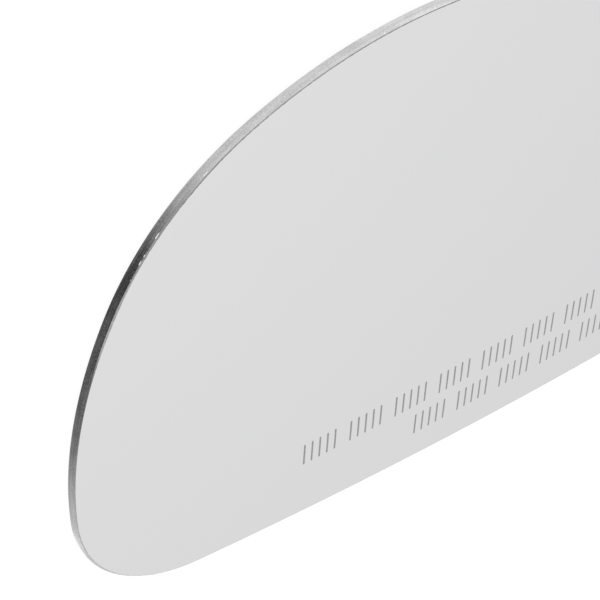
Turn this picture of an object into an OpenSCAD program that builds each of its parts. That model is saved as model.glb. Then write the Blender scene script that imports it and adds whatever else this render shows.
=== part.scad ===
// Convex glass of a car door mirror, lying on its rim with the mirror face up.
//
// The pane is bent to a sphere: both faces are concentric spheres, and a length is measured along
// the glass, as it is on the flat blank before bending. The outline is a ring of arcs, each tangent
// to the next, that are small circles of that sphere. The edge stands square to the bent glass all
// round, with a ground arris along both faces.

/* [Glass] */
// Overall length, along the glass
pane_w = 184; // [165:1:210]
// Overall height, along the glass
pane_h = 99; // [92:0.1:108]
// Thickness
pane_t = 1.95; // [1.6:0.05:3]
// Radius of the convex mirror face
face_r = 1400; // [900:10:1650]
// Width of the ground arris along each face
arris = 0.35; // [0.1:0.05:0.6]

/* [Lower edge] */
// Radius of the lower edge
bottom_r = 3000; // [2200:100:6000]
// Lowest point of the lower edge, from the narrow end
bottom_x = 81.6; // [70:0.1:100]
// Corner between the lower edge and the narrow end
low_inner_r = 24.6; // [16:0.1:28]
// Corner between the lower edge and the broad end
low_outer_r = 27; // [16:0.5:34]

/* [Narrow end] */
// Radius of the end's flank
flank_r = 82.9; // [76:0.1:100]
// Outermost point of the flank, above the lower edge
flank_y = 32.7; // [30:0.1:38]
// Shoulder between the flank and the sweep
shoulder_r = 51.9; // [42:0.1:56]
// Sweep that runs up into the top edge
sweep_r = 78; // [72:0.1:88]

/* [Top edge] */
// Highest point of the top edge, from the narrow end
crest_x = 65.8; // [60:0.1:73]
// Radius of the top edge beyond its highest point
top_r = 700; // [500:20:1100]

/* [Broad end] */
// Radius of the end's side
side_r = 190; // [140:5:400]
// Outermost point of the side, above the lower edge
side_y = 46; // [38:1:56]
// Corner between the side and the top edge
high_outer_r = 34; // [20:0.5:38]

/* [Rest] */
// Point of the face that is highest as the pane lies on three points of its rim, from the narrow end
rest_x = 93.5; // [85:0.5:102]
// The same point, above the lower edge
rest_y = 37.6; // [30:0.1:56]

/* [Hidden] */

// Facets of a full circle, where one is drawn
$fn = 720;
// Largest turn and length of one facet of the ground edge
facet_angle = 3;
facet_length = 8;
// How far the bent blank and the arrises run on past the finished pane
spare = 5;

// Angle at the sphere's centre of a length along the mirror face
function turn(length) = length / face_r * 180 / PI;
function unit(v) = v / norm(v);
function across(v, axis) = unit(v - (v * axis) * axis);

// Direction from the sphere's centre of the point x beyond the narrow end and y above the lower edge
function toward(x, y) =
    unit([tan(turn(x - pane_w / 2)), tan(turn(y - pane_h / 2)), 1]);

// An arc is its axis and its radius. This one passes through a point and bulges a given way there.
function arc_at(x, y, bulge, radius) =
    let (
        point = toward(x, y),
        outward = across(bulge, point),
        angle = atan(radius / face_r)
    )
    [cos(angle) * point - sin(angle) * outward, radius];

function axis(arc) = arc[0];
function radius(arc) = arc[1];
function spread(arc) = atan(radius(arc) / face_r);

// Corner inside two arcs and tangent to both, where the outline runs anticlockwise from a to b
function corner(a, b, corner_r) =
    let (
        d = axis(a) * axis(b),
        to_a = cos(spread(a) - atan(corner_r / face_r)),
        to_b = cos(spread(b) - atan(corner_r / face_r)),
        u = (to_a - d * to_b) / (1 - d * d),
        v = (to_b - d * to_a) / (1 - d * d),
        w = sqrt((1 - u * u - v * v - 2 * u * v * d) / (1 - d * d))
    )
    [u * axis(a) + v * axis(b) + w * cross(axis(a), axis(b)), corner_r];

// Direction of the point where two arcs touch, reached from the wider one's axis
function touch(a, b) =
    let (
        wide = radius(a) > radius(b) ? a : b,
        tight = radius(a) > radius(b) ? b : a
    )
    cos(spread(wide)) * axis(wide) + sin(spread(wide)) * across(axis(tight), axis(wide));

bottom = arc_at(bottom_x, 0, [0, -1, 0], bottom_r);
side = arc_at(pane_w, side_y, [1, 0, 0], side_r);
top = arc_at(crest_x, pane_h, [0, 1, 0], top_r);
sweep = arc_at(crest_x, pane_h, [0, 1, 0], sweep_r);
flank = arc_at(0, flank_y, [-1, 0, 0], flank_r);

// The outline's arcs, anticlockwise from the lower edge
outline = [
    bottom,
    corner(bottom, side, low_outer_r),
    side,
    corner(side, top, high_outer_r),
    top,
    sweep,
    corner(sweep, flank, shoulder_r),
    flank,
    corner(flank, bottom, low_inner_r)
];
count = len(outline);

// Stations along one arc: the direction of the wall there, and the direction inward along the glass
function stations_of(before, arc, after) =
    let (
        a = axis(arc),
        x = across(touch(before, arc), a),
        y = cross(a, x),
        end = across(touch(arc, after), a),
        swing = atan2(end * y, end * x),
        angle = swing < 0 ? swing + 360 : swing,
        length = angle * PI / 180 * radius(arc),
        facets = max(ceil(angle / facet_angle), ceil(length / facet_length))
    )
    [for (i = [0:facets - 1])
        let (
            way = angle * i / facets,
            outward = cos(way) * x + sin(way) * y
        )
        [cos(spread(arc)) * a + sin(spread(arc)) * outward,
         sin(spread(arc)) * a - cos(spread(arc)) * outward]];

stations = [
    for (k = [0:count - 1])
        each stations_of(outline[(k + count - 1) % count], outline[k], outline[(k + 1) % count])
];

// Point at a station, drawn in from the wall by an inset, on a sphere of radius r
function rim_point(station, inset, r) =
    r * (cos(turn(inset)) * station[0] + sin(turn(inset)) * station[1]);

// The mirror face starts an arris inside the wall, and the wall an arris below the face
wall_top_r = face_r - arris;
wall_foot_r = face_r - pane_t + arris;
back_r = face_r - pane_t;

// Frame of the lying pane: its highest point is straight up, and the lower edge runs along x
up = toward(rest_x, rest_y);
along = across([1, 0, 0], up);
inward = cross(up, along);

// Farthest reach of the rim in a direction, at an inset on a sphere of radius r
function reach(way, r, inset = 0) = max([for (s = stations) rim_point(s, inset, r) * way]);

middle_x = (reach(along, wall_top_r) - reach(-along, wall_top_r)) / 2;
middle_y = (reach(inward, wall_top_r) - reach(-inward, wall_top_r)) / 2;
floor_z = -reach(-up, back_r, arris);

// Round blank of bent glass
module blank() {
    blank_r = norm([pane_w, pane_h]) / 2 + spare;
    rotate_extrude()
        intersection() {
            difference() {
                circle(face_r);
                circle(back_r);
            }
            translate([0, face_r / 2])
                square([blank_r, face_r]);
        }
}

// Form of the ground edge: the wall between the two arrises, which run on clear of the glass, and
// a cap over each face
module edge_form() {
    // Each ring's inset from the wall and its distance from the sphere's centre
    rings = [
        [arris + spare, face_r + spare],
        [0, wall_top_r],
        [0, wall_foot_r],
        [arris + spare, back_r - spare]
    ];
    n = len(stations);
    last = len(rings) - 1;
    peak = n * len(rings);
    polyhedron(
        points = concat(
            [for (ring = rings, s = stations) rim_point(s, ring[0], ring[1])],
            [[0, 0, rings[0][1]], [0, 0, rings[last][1]]]
        ),
        faces = concat(
            [for (r = [1:last], i = [0:n - 1])
                let (next = (i + 1) % n)
                [(r - 1) * n + i, (r - 1) * n + next, r * n + next, r * n + i]],
            [for (i = [0:n - 1]) [peak, (i + 1) % n, i]],
            [for (i = [0:n - 1]) [peak + 1, last * n + i, last * n + (i + 1) % n]]
        )
    );
}

module mirror_glass() {
    color("silver")
        translate([-middle_x, -middle_y, -floor_z])
        multmatrix([along, inward, up])
        intersection() {
            blank();
            edge_form();
        }
}

mirror_glass();
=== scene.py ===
# Convex glass of a car door mirror, lying loose on its rim on a pale floor, mirror face up.
import math

import bpy
import numpy as np
from mathutils import Matrix, Vector


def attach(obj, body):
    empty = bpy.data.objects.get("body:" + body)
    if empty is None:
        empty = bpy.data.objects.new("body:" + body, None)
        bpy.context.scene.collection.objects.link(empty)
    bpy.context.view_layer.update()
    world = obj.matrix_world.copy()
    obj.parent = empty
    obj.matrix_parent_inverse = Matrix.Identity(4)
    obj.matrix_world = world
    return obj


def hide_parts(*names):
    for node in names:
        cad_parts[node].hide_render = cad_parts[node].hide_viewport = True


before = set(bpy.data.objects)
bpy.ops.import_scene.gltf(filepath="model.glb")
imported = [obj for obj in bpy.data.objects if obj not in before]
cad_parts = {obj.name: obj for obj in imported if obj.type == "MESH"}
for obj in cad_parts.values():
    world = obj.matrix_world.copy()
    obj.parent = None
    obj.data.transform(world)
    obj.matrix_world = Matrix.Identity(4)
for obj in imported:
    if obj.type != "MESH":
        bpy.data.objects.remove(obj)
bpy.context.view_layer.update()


# Mirror pane: one sheet of glass bent to part of a sphere. Its hollow back is silvered and painted,
# its edge is ground square to the glass, with a narrow arris along both faces, and a few small
# chips have come off the front arris. It lies loose on three points of its rim.
pane_length = 0.184
pane_height = 0.099
pane_thickness = 0.00195
face_radius = 1.4
arris = 0.00035
arris_rounding = 0.00006
# Widest border of clear glass between the front arris and the edge of the silver
border_width = 0.0003
# Point of the face that is highest as the pane lies, from the narrow end and above the lower edge
crown = (0.0935, 0.0376)

lower_edge_radius, lower_edge_x = 3.0, 0.0816
end_side_radius, end_side_y = 0.19, 0.046
top_edge_radius, crest_x = 0.7, 0.0658
sweep_radius = 0.078
flank_radius, flank_y = 0.0829, 0.0327
low_outer_radius, high_outer_radius = 0.027, 0.034
shoulder_radius, low_inner_radius = 0.0519, 0.0246
station_spacing = 0.0003


def unit(v):
    return v / np.linalg.norm(v)


def across(v, axis):
    return unit(v - (v @ axis) * axis)


def toward(x, y):
    """Direction from the sphere's centre of a point x from the narrow end and y above the lower edge."""
    return unit(np.array([
        math.tan((x - pane_length / 2) / face_radius), math.tan((y - pane_height / 2) / face_radius), 1
    ]))


def spread(arc):
    """Angle at the sphere's centre between an arc and its axis."""
    return math.atan(arc[1] / face_radius)


def edge_arc(x, y, bulge, radius):
    """An arc of the outline is its axis and radius, a small circle of the sphere."""
    point = toward(x, y)
    outward = across(np.array(bulge, float), point)
    angle = math.atan(radius / face_radius)
    return math.cos(angle) * point - math.sin(angle) * outward, radius


def corner_arc(a, b, radius):
    """The arc of that radius that touches both neighbours from inside."""
    d = a[0] @ b[0]
    angle = math.atan(radius / face_radius)
    to_a, to_b = math.cos(spread(a) - angle), math.cos(spread(b) - angle)
    u = (to_a - d * to_b) / (1 - d * d)
    v = (to_b - d * to_a) / (1 - d * d)
    w = math.sqrt((1 - u * u - v * v - 2 * u * v * d) / (1 - d * d))
    return u * a[0] + v * b[0] + w * np.cross(a[0], b[0]), radius


def touch(a, b):
    """Direction of the point where two arcs touch, reached from the wider one's axis."""
    wide, tight = (a, b) if a[1] > b[1] else (b, a)
    return math.cos(spread(wide)) * wide[0] + math.sin(spread(wide)) * across(tight[0], wide[0])


lower_edge = edge_arc(lower_edge_x, 0, (0, -1, 0), lower_edge_radius)
end_side = edge_arc(pane_length, end_side_y, (1, 0, 0), end_side_radius)
top_edge = edge_arc(crest_x, pane_height, (0, 1, 0), top_edge_radius)
sweep = edge_arc(crest_x, pane_height, (0, 1, 0), sweep_radius)
flank = edge_arc(0, flank_y, (-1, 0, 0), flank_radius)
outline_arcs = [
    lower_edge, corner_arc(lower_edge, end_side, low_outer_radius),
    end_side, corner_arc(end_side, top_edge, high_outer_radius),
    top_edge, sweep, corner_arc(sweep, flank, shoulder_radius),
    flank, corner_arc(flank, lower_edge, low_inner_radius),
]

# Stations round the outline: the way to the wall, the way inward along the glass, and the run so far
walls, inwards, runs = [], [], []
outline_length = 0
for k, arc in enumerate(outline_arcs):
    after = outline_arcs[(k + 1) % len(outline_arcs)]
    x_axis = across(touch(outline_arcs[k - 1], arc), arc[0])
    y_axis = np.cross(arc[0], x_axis)
    end = across(touch(arc, after), arc[0])
    swing = math.atan2(end @ y_axis, end @ x_axis) % math.tau
    length = swing * face_radius * math.sin(spread(arc))
    steps = math.ceil(length / station_spacing)
    for i in range(steps):
        way = swing * i / steps
        outward = math.cos(way) * x_axis + math.sin(way) * y_axis
        walls.append(math.cos(spread(arc)) * arc[0] + math.sin(spread(arc)) * outward)
        inwards.append(math.sin(spread(arc)) * arc[0] - math.cos(spread(arc)) * outward)
        runs.append(outline_length + length * i / steps)
    outline_length += length

# The lying pane's frame: the crown is straight up and the lower edge runs along x
up = toward(*crown)
along = across(np.array([1.0, 0, 0]), up)
lying = np.array([along, np.cross(up, along), up])
walls, inwards, runs = np.array(walls) @ lying.T, np.array(inwards) @ lying.T, np.array(runs)
rim = walls * (face_radius - arris)
foot = math.cos(arris / face_radius) * walls + math.sin(arris / face_radius) * inwards
sphere_centre = -np.array([
    (rim[:, 0].min() + rim[:, 0].max()) / 2,
    (rim[:, 1].min() + rim[:, 1].max()) / 2,
    (foot[:, 2] * (face_radius - pane_thickness)).min(),
])

# Chips in the middle of the front arris: place along the outline from the lower edge's start,
# length and depth. Each is deeper at its far end, has blunt ends and runs out across the arris.
chips = [
    (0.3497, 0.0009, 0.00008),
    (0.3541, 0.0009, 0.00010),
    (0.38865, 0.0013, 0.00013),
    (0.40025, 0.0017, 0.00013),
    (0.4039, 0.0006, 0.00009),
    (0.4052, 0.0010, 0.00011),
    (0.4083, 0.0007, 0.00008),
]
chip_lean = 0.7
chip_bluntness = 0.6
chip_spread = 0.00012
# The arris wanders a little between them, by several waves round the outline
wave_counts = range(40, 220, 12)
wave_height = 0.000005
wave_seed = 7

nicks = np.zeros(len(runs))
for place, length, depth in chips:
    off = 2 * (runs - place) / length
    hollow = np.clip(1 - off ** 2, 0, 1) ** chip_bluntness
    nicks = np.maximum(nicks, depth * (1 + chip_lean * off) * hollow)
dice = np.random.default_rng(wave_seed)
for waves in wave_counts:
    nicks += wave_height * np.sin(math.tau * (waves * runs / outline_length + dice.random()))


def placed(name, data):
    """An object with that data, in the scene."""
    made = bpy.data.objects.new(name, data)
    bpy.context.scene.collection.objects.link(made)
    return made


def loose_points(name, points, numbers):
    """An object of loose points that carry named numbers."""
    mesh = bpy.data.meshes.new(name)
    mesh.from_pydata(points, [], [])
    for label, values in numbers.items():
        values = np.array(values, np.float32)
        mesh.attributes.new(label, "FLOAT", "POINT").data.foreach_set("value", values)
    return placed(name, mesh)


pane_outline = loose_points("pane_outline", walls.tolist(), {"run": runs, "nick": nicks})
inward_ways = pane_outline.data.attributes.new("inward", "FLOAT_VECTOR", "POINT")
inward_ways.data.foreach_set("vector", inwards.astype(np.float32).ravel())


def between(start, finish, steps):
    """The points that split the way between two points into equal steps."""
    return [tuple(np.array(start) + (np.array(finish) - start) * i / steps) for i in range(1, steps)]


def rounded(corners, radius, steps):
    """The corners of an open path, each but the ends replaced by an arc of that radius."""
    path = [corners[0]]
    for before, at, after in zip(corners, corners[1:], corners[2:]):
        before, at, after = (np.array(p, float) for p in (before, at, after))
        a, b = unit(before - at), unit(after - at)
        half = math.acos(np.clip(a @ b, -1, 1)) / 2
        centre = at + unit(a + b) * radius / math.sin(half)
        start, finish = at + a * radius / math.tan(half), at + b * radius / math.tan(half)
        for i in range(steps + 1):
            share = start + (finish - start) * i / steps
            path.append(tuple(centre + unit(share - centre) * radius))
    return path + [corners[-1]]


# Section of the pane from the middle of its back round the edge to the middle of its face: inset
# from the wall, depth under the face, and the pull towards the crown
pulls = [1, 0.86, 0.7, 0.54, 0.39, 0.26, 0.15, 0.07, 0.02]
arc_steps, wall_steps, arris_steps = 3, 6, 10
# What a full pull adds to the reach, which is otherwise measured along the section
pull_reach = 0.05

inner = arris + border_width
edge_path = rounded([
    (inner, pane_thickness), (arris, pane_thickness), (0, pane_thickness - arris),
    (0, arris), (arris, 0), (inner, 0),
], arris_rounding, arc_steps)
wall_foot = 2 * (arc_steps + 1)
ridge = wall_foot + wall_steps
arris_foot = ridge + arc_steps
arris_top = arris_foot + arris_steps
edge_path[wall_foot + 1:wall_foot + 1] = between(
    edge_path[wall_foot], edge_path[wall_foot + 1], wall_steps)
edge_path[arris_foot + 1:arris_foot + 1] = between(
    edge_path[arris_foot], edge_path[arris_foot + 1], arris_steps)
section = [(inner, pane_thickness, pull) for pull in pulls]
section += [(inset, depth, 0) for inset, depth in edge_path]
section += [(inner, 0, pull) for pull in reversed(pulls)]
first, last = len(pulls), len(pulls) + len(edge_path) - 1
steps_taken = np.linalg.norm(np.diff([ring[:2] for ring in section], axis=0), axis=1)
reach = np.concatenate([[0], np.cumsum(steps_taken)])
reach[:first] = reach[first] - pull_reach * np.array(pulls)
reach[last + 1:] = reach[last] + pull_reach * np.array(pulls[::-1])
arris_middle = (reach[first + arris_foot] + reach[first + arris_top]) / 2
give = np.clip(1 - abs(reach - arris_middle) / chip_spread, 0, 1)
pane_profile = loose_points("pane_profile", section, {"reach": reach, "give": give})


def new_material(name, settings):
    """A material with those values on its shader, its node tree and the shader."""
    made = bpy.data.materials.new(name)
    made.use_nodes = True
    shader = made.node_tree.nodes["Principled BSDF"]
    for key, value in settings.items():
        shader.inputs[key].default_value = value
    return made, made.node_tree, shader


# Silvered face: a bright metallic reflection under a polished glass surface
silver_colour, silver_roughness = (0.86, 0.86, 0.865, 1), 0.03
polish, polish_roughness = 0.3, 0.02
silver, tree, shader = new_material("silvered_glass", {
    "Base Color": silver_colour, "Metallic": 1, "Roughness": silver_roughness,
    "Coat Weight": polish, "Coat Roughness": polish_roughness})

# Ground wall and arris: matt ground glass, with painted light and shade in its grey. They are
# painted pale, as if lit, along the top edge and the sweep, and painted dark, as if in shade, where
# the narrow end's shoulder turns into the flank. The arris is paler beside the face there.
ground_roughness, ground_shine = 0.3, 0.35
# Where that starts and where it is full, as shares of the arris below its top
beside_face = (0.55, 0.25)
# Stretch along and up the edge, detail and weight of each noise that makes up the grain
grinding_stretch, grinding_detail, grinding_weight = (2500, 8500, 1), 4.0, 1.6
streak_stretch, streak_detail = (90, 3500, 1), 2.0
patch_stretch, patch_detail, patch_weight = (260, 700, 1), 2.0, 0.6
grain_reach = 0.4
ground_contrast, dust_contrast = 0.13, 0.08
grinding_bump, grinding_depth = 0.25, 0.00002
# Painted glint on the fresh chips: their faces are painted near white where a chip is deeper than these
# limits
chip_glint_limits = (0.00004, 0.00006)
chip_glint_colour = (0.95, 0.95, 0.95, 1)
# Paleness at places round the outline: the ground glass's grey with painted light and shade in it,
# pale as if lit along the top edge and dark as if shaded at the flank
wall_grey_and_painted_shading = [
    (0.0, 0.40), (0.346, 0.55), (0.362, 0.53), (0.387, 0.50), (0.391, 0.37), (0.398, 0.18),
    (0.403, 0.06), (0.409, 0.003), (0.417, 0.03), (0.432, 0.05), (0.442, 0.115), (0.450, 0.26),
    (0.458, 0.40), (0.463, 0.80), (0.469, 0.80), (0.476, 0.50),
]
# The same painted light and shade on the arris
arris_grey_and_painted_shading = [
    (0.0, 0.56), (0.346, 0.60), (0.360, 0.57), (0.371, 0.52), (0.386, 0.57), (0.391, 0.41),
    (0.399, 0.18), (0.406, 0.03), (0.411, 0.01), (0.417, 0.03), (0.430, 0.07), (0.440, 0.15),
    (0.450, 0.33), (0.462, 0.68), (0.472, 0.52),
]
# Painted light and shade on the arris beside the face
arris_grey_and_painted_shading_by_face = [
    (0.0, 0.57), (0.346, 0.62), (0.353, 0.56), (0.360, 0.42), (0.386, 0.41), (0.393, 0.32),
    (0.400, 0.26), (0.406, 0.28), (0.411, 0.38), (0.420, 0.40), (0.427, 0.13), (0.440, 0.16),
    (0.450, 0.30), (0.458, 0.42), (0.463, 0.68), (0.472, 0.52),
]


def node(tree, kind, inputs=(), **settings):
    """A node with its settings, and its inputs set to a value or linked to a socket."""
    made = tree.nodes.new(kind)
    for name, value in settings.items():
        setattr(made, name, value)
    for key, value in dict(inputs).items():
        if isinstance(value, bpy.types.NodeSocket):
            tree.links.new(value, made.inputs[key])
        else:
            made.inputs[key].default_value = value
    return made


def worked_out(tree, operation, *numbers):
    """The result of a Math node on those numbers."""
    return node(tree, "ShaderNodeMath", dict(enumerate(numbers)), operation=operation).outputs[0]


def moved_range(tree, value, old, new=(0.0, 1.0), clamp=True):
    """The value, moved from its old range to a new one."""
    return node(tree, "ShaderNodeMapRange", {
        "Value": value, "From Min": old[0], "From Max": old[1],
        "To Min": new[0], "To Max": new[1]}, clamp=clamp).outputs[0]


# Where a Mix node takes its two values and gives its result, for colours and for vectors
mix_sockets = {"RGBA": (6, 7, 2), "VECTOR": (4, 5, 1)}


def mixed(tree, kind, share, a, b):
    """The first value, turned into the second by that share."""
    from_a, from_b, gives = mix_sockets[kind]
    made = node(tree, "ShaderNodeMix", {"Factor": share, from_a: a, from_b: b}, data_type=kind)
    return made.outputs[gives]


def flat_map(tree):
    """The edge laid flat: the run round the outline, and the reach over the section."""
    return node(tree, "ShaderNodeUVMap", uv_map="UVMap").outputs["UV"]


def scaled_noise(tree, place, stretch, detail):
    """Noise on a stretched copy of the flat map, from about 0 to 1."""
    stretched = node(tree, "ShaderNodeMapping", {"Vector": place, "Scale": stretch}).outputs[0]
    return node(tree, "ShaderNodeTexNoise", {
        "Vector": stretched, "Scale": 1.0, "Detail": detail}).outputs[0]


def along_outline(tree, flat, levels):
    """Grey level that follows the run round the outline, from a list of places and levels."""
    run = node(tree, "ShaderNodeSeparateXYZ", {0: flat}).outputs["X"]
    made = node(tree, "ShaderNodeValToRGB", {0: worked_out(tree, "DIVIDE", run, outline_length)})
    while len(made.color_ramp.elements) < len(levels):
        made.color_ramp.elements.new(0.5)
    for element, (place, level) in zip(made.color_ramp.elements, levels):
        element.position = place / outline_length
        element.color = (level, level, level, 1)
    return made.outputs[0]


def up_the_edge(tree, flat, start, end):
    """Share from 0 to 1 of the way over the edge between two places on the section."""
    height = node(tree, "ShaderNodeSeparateXYZ", {0: flat}).outputs["Y"]
    return moved_range(tree, height, (start, end))


def painted_shading_ground(name, shading_tones, shading_tones_by_face=None):
    """Ground glass whose grey follows the outline with painted light and shade in it, with grinding marks,
    and a painted glint on the fresh chips.
    """
    made, tree, shader = new_material(name, {
        "Roughness": ground_roughness, "Specular IOR Level": ground_shine})
    flat = flat_map(tree)
    # Painted light and shade: the grey along the outline is pale where lit and dark where shaded
    shaded_paleness = along_outline(tree, flat, shading_tones)
    if shading_tones_by_face:
        start, end = (reach[first + arris_top] - share * arris for share in beside_face)
        face_side_shading = along_outline(tree, flat, shading_tones_by_face)
        shaded_paleness = mixed(tree, "RGBA", up_the_edge(tree, flat, start, end), shaded_paleness, face_side_shading)
    marks = scaled_noise(tree, flat, grinding_stretch, grinding_detail)
    streaks = scaled_noise(tree, flat, streak_stretch, streak_detail)
    patches = scaled_noise(tree, flat, patch_stretch, patch_detail)
    grain = worked_out(tree, "MULTIPLY_ADD", marks, grinding_weight, streaks)
    grain = worked_out(tree, "MULTIPLY_ADD", patches, patch_weight, grain)
    middle = (grinding_weight + 1 + patch_weight) / 2
    grain = moved_range(
        tree, grain, (middle - grain_reach, middle + grain_reach), (-1.0, 1.0), clamp=False)
    shade = worked_out(tree, "MULTIPLY_ADD", grain, ground_contrast, 1.0)
    dust = worked_out(tree, "MULTIPLY", grain, dust_contrast)
    tone = node(tree, "ShaderNodeVectorMath", {
        0: shaded_paleness, 1: shade, 2: dust}, operation="MULTIPLY_ADD").outputs[0]
    # Painted glint: the chipped faces are painted near white
    chipped = node(tree, "ShaderNodeAttribute", attribute_name="chipped").outputs["Fac"]
    finish = mixed(tree, "RGBA", moved_range(tree, chipped, chip_glint_limits), tone, chip_glint_colour)
    tree.links.new(finish, shader.inputs["Base Color"])
    bump = node(tree, "ShaderNodeBump", {
        "Strength": grinding_bump, "Distance": grinding_depth, "Height": marks})
    tree.links.new(bump.outputs[0], shader.inputs["Normal"])
    return made


ground_wall_painted_shading = painted_shading_ground("ground_wall_painted_shading", wall_grey_and_painted_shading)
ground_arris_painted_shading = painted_shading_ground("ground_arris_painted_shading", arris_grey_and_painted_shading, arris_grey_and_painted_shading_by_face)

# Border: the silver stops short of the arris, so that a hair's breadth of clear glass shows there
# as a grey line. Its paleness and its width, as a share of the widest border, follow the outline,
# and both waver a little: where the line is wide it is dark.
border_roughness = 0.05
clear_glass_tone, silver_tone = 0.02, 0.86
line_softness = 0.12
waver_stretch, waver_detail = (1100, 1, 1), 2.0
wavering_widths, wavering_tones = (0.82, 1.18), (1.35, 0.65)
# Noise stays mostly between these
noise_limits = (0.3, 0.7)
line_tones = [
    (0.0, 0.7), (0.13, 0.5), (0.345, 0.25), (0.396, 0.27), (0.402, 0.26), (0.409, 0.40), (0.422, 0.40),
    (0.428, 0.14), (0.440, 0.16), (0.452, 0.30), (0.463, 0.50), (0.480, 0.80),
]
line_widths = [
    (0.0, 0.2), (0.13, 0.3), (0.345, 0.58), (0.374, 0.54), (0.386, 0.66), (0.392, 0.72), (0.402, 0.54),
    (0.407, 0.56), (0.415, 0.88), (0.421, 0.50), (0.428, 0.15), (0.452, 0.10), (0.458, 0.25),
    (0.463, 0.60), (0.470, 0.30), (0.480, 0.20),
]

border, tree, shader = new_material("clear_border", {"Roughness": border_roughness})
flat = flat_map(tree)
waver = scaled_noise(tree, flat, waver_stretch, waver_detail)
line_width = worked_out(
    tree, "MULTIPLY", along_outline(tree, flat, line_widths),
    moved_range(tree, waver, noise_limits, wavering_widths))
line_tone = worked_out(
    tree, "MULTIPLY", along_outline(tree, flat, line_tones),
    moved_range(tree, waver, noise_limits, wavering_tones))
line_end = worked_out(tree, "ADD", line_width, line_softness)
over_border = up_the_edge(tree, flat, reach[first + arris_top], reach[last])
silvering = moved_range(tree, over_border, (line_width, line_end), (line_tone, 1.0))
border_tone = moved_range(tree, silvering, (0.0, 1.0), (clear_glass_tone, silver_tone))
tree.links.new(border_tone, shader.inputs["Base Color"])
tree.links.new(silvering, shader.inputs["Metallic"])

# Back: matt grey protective paint over the silver, slightly uneven
paint_roughness, paint_tones = 0.6, (0.16, 0.21)
mottle_scale, mottle_detail = 900.0, 3.0


def even_noise(tree, scale, detail):
    """Noise on the piece's own place, the same in every direction."""
    place = node(tree, "ShaderNodeTexCoord").outputs["Object"]
    return node(tree, "ShaderNodeTexNoise", {
        "Vector": place, "Scale": scale, "Detail": detail}).outputs[0]


paint, tree, shader = new_material("back_paint", {"Roughness": paint_roughness})
mottle = even_noise(tree, mottle_scale, mottle_detail)
tree.links.new(moved_range(tree, mottle, noise_limits, paint_tones), shader.inputs["Base Color"])

# Two points nearer than this are one, where the rings meet at the seam and at the crown
weld_distance = 0.000001


def geometry_tree(name, sockets):
    """A Geometry Nodes tree with named inputs, and its group input and output nodes."""
    made = bpy.data.node_groups.new(name, "GeometryNodeTree")
    made.interface.new_socket("Geometry", in_out="OUTPUT", socket_type="NodeSocketGeometry")
    for label, kind in sockets:
        made.interface.new_socket(label, in_out="INPUT", socket_type="NodeSocket" + kind)
    return made, made.nodes.new("NodeGroupInput"), made.nodes.new("NodeGroupOutput")


# Bent pane tree: a grid of stations round the outline by rings of the section, laid on the sphere
tree, given, result = geometry_tree("bent_pane", [
    ("Outline", "Geometry"), ("Section", "Object"), ("Outline Length", "Float"), ("Face Radius", "Float"),
    ("Sphere Centre", "Vector"), ("Weld Distance", "Float"), ("Back Ends", "Float"),
    ("Wall Starts", "Float"), ("Wall Ends", "Float"), ("Edge Ends", "Float"), ("Border Ends", "Float"),
])


# Short forms for nodes of the tree that is being built
def math_node(operation, *numbers):
    return worked_out(tree, operation, *numbers)


def vector_node(operation, a, b):
    key = "Scale" if operation == "SCALE" else 1
    return node(tree, "ShaderNodeVectorMath", {0: a, key: b}, operation=operation).outputs[0]


def vector_of(**parts):
    return node(tree, "ShaderNodeCombineXYZ", parts).outputs[0]


def attribute(name, kind="FLOAT"):
    return node(tree, "GeometryNodeInputNamedAttribute", {"Name": name}, data_type=kind).outputs["Attribute"]


def sampled(source, value, at, kind="FLOAT"):
    return node(tree, "GeometryNodeSampleIndex", {
        "Geometry": source, "Value": value, "Index": at}, data_type=kind).outputs["Value"]


loop = given.outputs["Outline"]
rings = node(tree, "GeometryNodeObjectInfo", {"Object": given.outputs["Section"]}).outputs["Geometry"]
stations = node(tree, "GeometryNodeAttributeDomainSize", {"Geometry": loop}).outputs["Point Count"]
ring_count = node(tree, "GeometryNodeAttributeDomainSize", {"Geometry": rings}).outputs["Point Count"]
grid = node(tree, "GeometryNodeMeshGrid", {
    "Vertices X": math_node("ADD", stations, 1.0), "Vertices Y": ring_count})
index = node(tree, "GeometryNodeInputIndex").outputs[0]
ring = math_node("MODULO", index, ring_count)
station = math_node("ROUND", math_node("DIVIDE", math_node("SUBTRACT", index, ring), ring_count))
looped = math_node("MODULO", station, stations)
position = node(tree, "GeometryNodeInputPosition").outputs[0]
wall = sampled(loop, position, looped, "FLOAT_VECTOR")
inward = sampled(loop, attribute("inward", "FLOAT_VECTOR"), looped, "FLOAT_VECTOR")
ring_place = node(tree, "ShaderNodeSeparateXYZ", {0: sampled(rings, position, ring, "FLOAT_VECTOR")})
nick = math_node(
    "MULTIPLY", sampled(loop, attribute("nick"), looped), sampled(rings, attribute("give"), ring))
turn = math_node("DIVIDE", math_node("ADD", ring_place.outputs["X"], nick), given.outputs["Face Radius"])
inset_way = vector_node(
    "ADD", vector_node("SCALE", wall, math_node("COSINE", turn)),
    vector_node("SCALE", inward, math_node("SINE", turn)))
pulled = mixed(tree, "VECTOR", ring_place.outputs["Z"], inset_way, (0, 0, 1))
way = node(tree, "ShaderNodeVectorMath", {0: pulled}, operation="NORMALIZE").outputs[0]
height = math_node(
    "SUBTRACT", given.outputs["Face Radius"], math_node("ADD", ring_place.outputs["Y"], nick))
place = vector_node("ADD", vector_node("SCALE", way, height), given.outputs["Sphere Centre"])
laid_out = node(tree, "GeometryNodeSetPosition", {
    "Geometry": grid.outputs["Mesh"], "Position": place}).outputs[0]
laps = math_node("DIVIDE", math_node("SUBTRACT", station, looped), stations)
run = math_node(
    "ADD", sampled(loop, attribute("run"), looped),
    math_node("MULTIPLY", laps, given.outputs["Outline Length"]))
reached = sampled(rings, attribute("reach"), ring)
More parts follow.
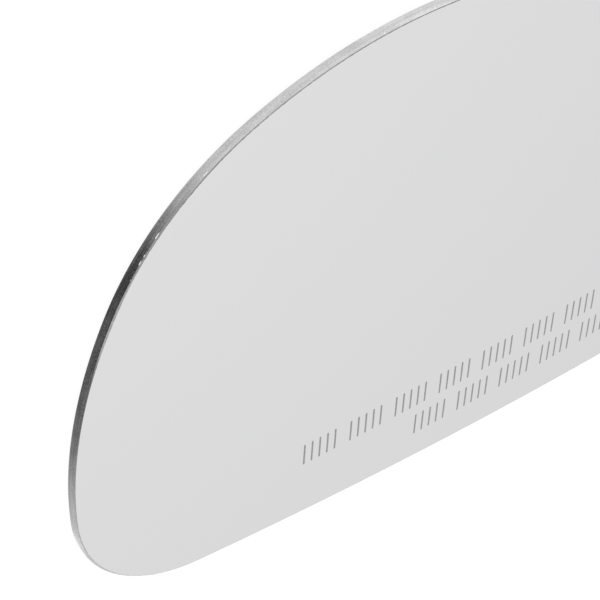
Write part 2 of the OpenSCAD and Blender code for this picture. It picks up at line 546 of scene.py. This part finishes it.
for name, value in (("run", run), ("reach", reached), ("chipped", nick)):
    laid_out = node(tree, "GeometryNodeStoreNamedAttribute", {
        "Geometry": laid_out, "Name": name, "Value": value}, data_type="FLOAT", domain="POINT").outputs[0]
flat_place = vector_of(X=attribute("run"), Y=attribute("reach"))
laid_out = node(tree, "GeometryNodeStoreNamedAttribute", {
    "Geometry": laid_out, "Name": "UVMap", "Value": flat_place},
    data_type="FLOAT2", domain="CORNER").outputs[0]
joined = node(tree, "GeometryNodeMergeByDistance", {
    "Geometry": laid_out, "Distance": given.outputs["Weld Distance"]}).outputs[0]
smooth = node(tree, "GeometryNodeSetShadeSmooth", {"Geometry": joined, "Shade Smooth": True}).outputs[0]
real = node(tree, "GeometryNodeRealizeInstances", {"Geometry": smooth}).outputs[0]
real = node(tree, "GeometryNodeSetMaterial", {"Geometry": real, "Material": silver}).outputs[0]
for limit, material in (
        ("Border Ends", border), ("Edge Ends", ground_arris_painted_shading), ("Wall Ends", ground_wall_painted_shading),
        ("Wall Starts", ground_arris_painted_shading), ("Back Ends", paint)):
    chosen = node(tree, "FunctionNodeCompare", {
        0: attribute("reach"), 1: given.outputs[limit]},
        data_type="FLOAT", operation="LESS_THAN").outputs[0]
    real = node(tree, "GeometryNodeSetMaterial", {
        "Geometry": real, "Selection": chosen, "Material": material}).outputs[0]
tree.links.new(real, result.inputs[0])


def made_by(shape, tree, values):
    """Runs the tree on the object and returns the plain mesh it makes."""
    modifier = shape.modifiers.new(tree.name, "NODES")
    modifier.node_group = tree
    for socket in tree.interface.items_tree:
        if socket.in_out == "INPUT" and socket.name in values:
            modifier[socket.identifier] = values[socket.name]
    shape.update_tag()
    bpy.context.view_layer.update()
    seen = shape.evaluated_get(bpy.context.evaluated_depsgraph_get())
    mesh = bpy.data.meshes.new_from_object(seen)
    shape.modifiers.remove(modifier)
    return mesh


pane_mesh = made_by(pane_outline, tree, {
    "Section": pane_profile, "Outline Length": float(outline_length), "Face Radius": face_radius,
    "Sphere Centre": tuple(sphere_centre), "Weld Distance": weld_distance,
    "Back Ends": float(reach[first + 1]), "Wall Starts": float(reach[first + wall_foot]),
    "Wall Ends": float(reach[first + ridge + 1]), "Edge Ends": float(reach[first + arris_top]),
    "Border Ends": float(reach[last]),
})
for shape in (pane_outline, pane_profile):
    bpy.data.objects.remove(shape)
pane = placed("mirror_pane", pane_mesh)
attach(pane, "root")
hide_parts("mirror_glass")


# Etched marks: two centred rows of plain strokes in even groups, sandblasted into the face near the
# lower edge. Each is a shallow matt grey stroke with round ends.
etching_place = (0.089377, 0.013987)
etching_turn = 1.9
etching_middle = 0.0029
etched_height = 0.0048
etched_stroke = 0.00036
etched_corners = 12
etched_thickness = 0.00004
etched_proud = 0.000008
etched_group, etched_pitch, etched_gap = 5, 0.0016, 0.0017
# Baseline and number of strokes
etched_rows = {"etched_row_upper": (0.0, 50), "etched_row_lower": (-0.007186, 25)}
etched_roughness, etched_ior, etched_tones = 0.8, 1.45, (0.25, 0.34)
blasting_scale, blasting_detail = 4000.0, 2.0

etched, tree, shader = new_material("etched_glass", {"Roughness": etched_roughness, "IOR": etched_ior})
blasting = even_noise(tree, blasting_scale, blasting_detail)
tree.links.new(moved_range(tree, blasting, noise_limits, etched_tones), shader.inputs["Base Color"])

# Etched row tree: one stroke, repeated along a straight line in groups, and bent down on the sphere
tree, given, result = geometry_tree("etched_row", [
    ("Geometry", "Geometry"), ("Count", "Int"), ("Group", "Int"), ("Pitch", "Float"), ("Gap", "Float"),
    ("Baseline", "Float"), ("Middle", "Float"), ("Mark Height", "Float"), ("Stroke", "Float"),
    ("Corners", "Int"), ("Thickness", "Float"), ("Proud", "Float"), ("Face Radius", "Float"),
])
pill = node(tree, "GeometryNodeMeshCylinder", {
    "Vertices": given.outputs["Corners"], "Radius": math_node("DIVIDE", given.outputs["Stroke"], 2.0),
    "Depth": given.outputs["Thickness"]})
spot = node(tree, "ShaderNodeSeparateXYZ", {0: node(tree, "GeometryNodeInputPosition").outputs[0]})
straight_part = math_node("SUBTRACT", given.outputs["Mark Height"], given.outputs["Stroke"])
stretch = math_node(
    "MULTIPLY", math_node("SIGN", spot.outputs["Y"]), math_node("DIVIDE", straight_part, 2.0))
stroke = node(tree, "GeometryNodeSetPosition", {
    "Geometry": pill.outputs["Mesh"], "Offset": vector_of(Y=stretch)}).outputs[0]


def way_along(number):
    """How far along the row a stroke stands, from the first one."""
    gaps = math_node("FLOOR", math_node("DIVIDE", number, given.outputs["Group"]))
    return math_node(
        "ADD", math_node("MULTIPLY", number, given.outputs["Pitch"]),
        math_node("MULTIPLY", gaps, given.outputs["Gap"]))


row_length = way_along(math_node("SUBTRACT", given.outputs["Count"], 1.0))
start = vector_of(
    X=math_node("SUBTRACT", given.outputs["Middle"], math_node("DIVIDE", row_length, 2.0)),
    Y=math_node("ADD", given.outputs["Baseline"], math_node("DIVIDE", given.outputs["Mark Height"], 2.0)),
    Z=math_node("SUBTRACT", given.outputs["Proud"], math_node("DIVIDE", given.outputs["Thickness"], 2.0)))
line = node(tree, "GeometryNodeMeshLine", {
    "Count": given.outputs["Count"], "Start Location": start, "Offset": (0, 0, 0)}, mode="OFFSET")
number = node(tree, "GeometryNodeInputIndex").outputs[0]
row = node(tree, "GeometryNodeSetPosition", {
    "Geometry": line.outputs[0], "Offset": vector_of(X=way_along(number))}).outputs[0]
strokes = node(tree, "GeometryNodeInstanceOnPoints", {"Points": row, "Instance": stroke}).outputs[0]
flat_row = node(tree, "GeometryNodeRealizeInstances", {"Geometry": strokes}).outputs[0]
from_middle = math_node(
    "ADD", math_node("POWER", spot.outputs["X"], 2.0), math_node("POWER", spot.outputs["Y"], 2.0))
sag = math_node("DIVIDE", from_middle, math_node("MULTIPLY", given.outputs["Face Radius"], -2.0))
bent_row = node(tree, "GeometryNodeSetPosition", {
    "Geometry": flat_row, "Offset": vector_of(Z=sag)}).outputs[0]
real = node(tree, "GeometryNodeRealizeInstances", {"Geometry": bent_row}).outputs[0]
real = node(tree, "GeometryNodeSetMaterial", {"Geometry": real, "Material": etched}).outputs[0]
tree.links.new(real, result.inputs[0])

# Frame of the rows on the lying pane: level is along them, rise is up their strokes
etching_up = toward(*etching_place)
level = across(np.array([1.0, 0, 0]), etching_up)
rise = np.cross(etching_up, level)
lean = math.radians(etching_turn)
etching_axes = lying @ np.array([
    math.cos(lean) * level + math.sin(lean) * rise, math.cos(lean) * rise - math.sin(lean) * level,
    etching_up]).T
etching_frame = Matrix(etching_axes.tolist()).to_4x4()
etching_frame.translation = lying @ etching_up * face_radius + sphere_centre
for name, (baseline, count) in etched_rows.items():
    row_shape = loose_points("row_shape", [], {})
    row_mesh = made_by(row_shape, tree, {
        "Count": count, "Group": etched_group, "Pitch": etched_pitch, "Gap": etched_gap,
        "Baseline": baseline, "Middle": etching_middle, "Mark Height": etched_height,
        "Stroke": etched_stroke, "Corners": etched_corners, "Thickness": etched_thickness,
        "Proud": etched_proud, "Face Radius": face_radius})
    bpy.data.objects.remove(row_shape)
    row_mesh.transform(etching_frame)
    etched_row = placed(name, row_mesh)
    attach(etched_row, "root")


# Floor: a plain white studio table, lit through from below so that it stays even.
floor_reach = 6.0
floor_roughness = 0.9
floor_colour, glow_colour, glow = (0.1, 0.1, 0.1, 1), (1, 1, 1, 1), 0.94
floor_corners = [
    (x * floor_reach, y * floor_reach, 0) for x, y in ((-1, -1), (1, -1), (1, 1), (-1, 1))]
floor_mesh = bpy.data.meshes.new("floor")
floor_mesh.from_pydata(floor_corners, [], [(0, 1, 2, 3)])
floor_white, tree, shader = new_material("floor_white", {
    "Base Color": floor_colour, "Roughness": floor_roughness, "Specular IOR Level": 0.0,
    "Emission Color": glow_colour, "Emission Strength": glow})
floor_mesh.materials.append(floor_white)
placed("floor", floor_mesh)


# Light: a pale surround that is brighter overhead, which the mirror face shows, and one large soft
# lamp on the side of the top edge, which is kept out of the mirror face.
horizon_tone, overhead_tone = 0.685, 0.915
lamp_way = Vector((0.25, 0.75, 0.75)).normalized()
lamp_size = 0.9
lamp_distance = 1.6
lamp_power = 8

bpy.context.scene.view_settings.view_transform = "Standard"
surround = bpy.data.worlds.new("studio")
bpy.context.scene.world = surround
surround.use_nodes = True
tree = surround.node_tree
sky_way = node(tree, "ShaderNodeTexCoord").outputs["Generated"]
sky_height = node(tree, "ShaderNodeSeparateXYZ", {0: sky_way}).outputs["Z"]
sky_tone = moved_range(tree, sky_height, (0.0, 1.0), (horizon_tone, overhead_tone))
tree.links.new(sky_tone, tree.nodes["Background"].inputs["Color"])

lamp_data = bpy.data.lights.new("soft_lamp", "AREA")
lamp_data.shape = "DISK"
lamp_data.size = lamp_size
lamp_data.energy = lamp_power
lamp = placed("soft_lamp", lamp_data)
lamp.location = lamp_way * lamp_distance
lamp.rotation_euler = lamp_way.to_track_quat("Z", "Y").to_euler()
lamp.visible_glossy = False


# Camera: the photograph's view of the pane, from over its narrow end and top edge, rolled over
# because the pane lies down here.
camera_place = Vector((-0.257758, 0.286915, 0.236024))
camera_way = Vector((0.491508, -0.674900, -0.550391))
camera_side = Vector((0.782350, 0.064563, 0.619483))
camera_sensor, camera_lens = 36, 161.898
camera_clip = (0.01, 50)

camera_data = bpy.data.cameras.new("camera")
camera_data.sensor_width = camera_sensor
camera_data.lens = camera_lens
camera_data.clip_start, camera_data.clip_end = camera_clip
camera = placed("camera", camera_data)
back = -camera_way.normalized()
side = (camera_side - camera_side.dot(back) * back).normalized()
turned = Matrix((side, back.cross(side), back)).transposed()
camera.matrix_world = Matrix.Translation(camera_place) @ turned.to_4x4()
bpy.context.scene.camera = camera
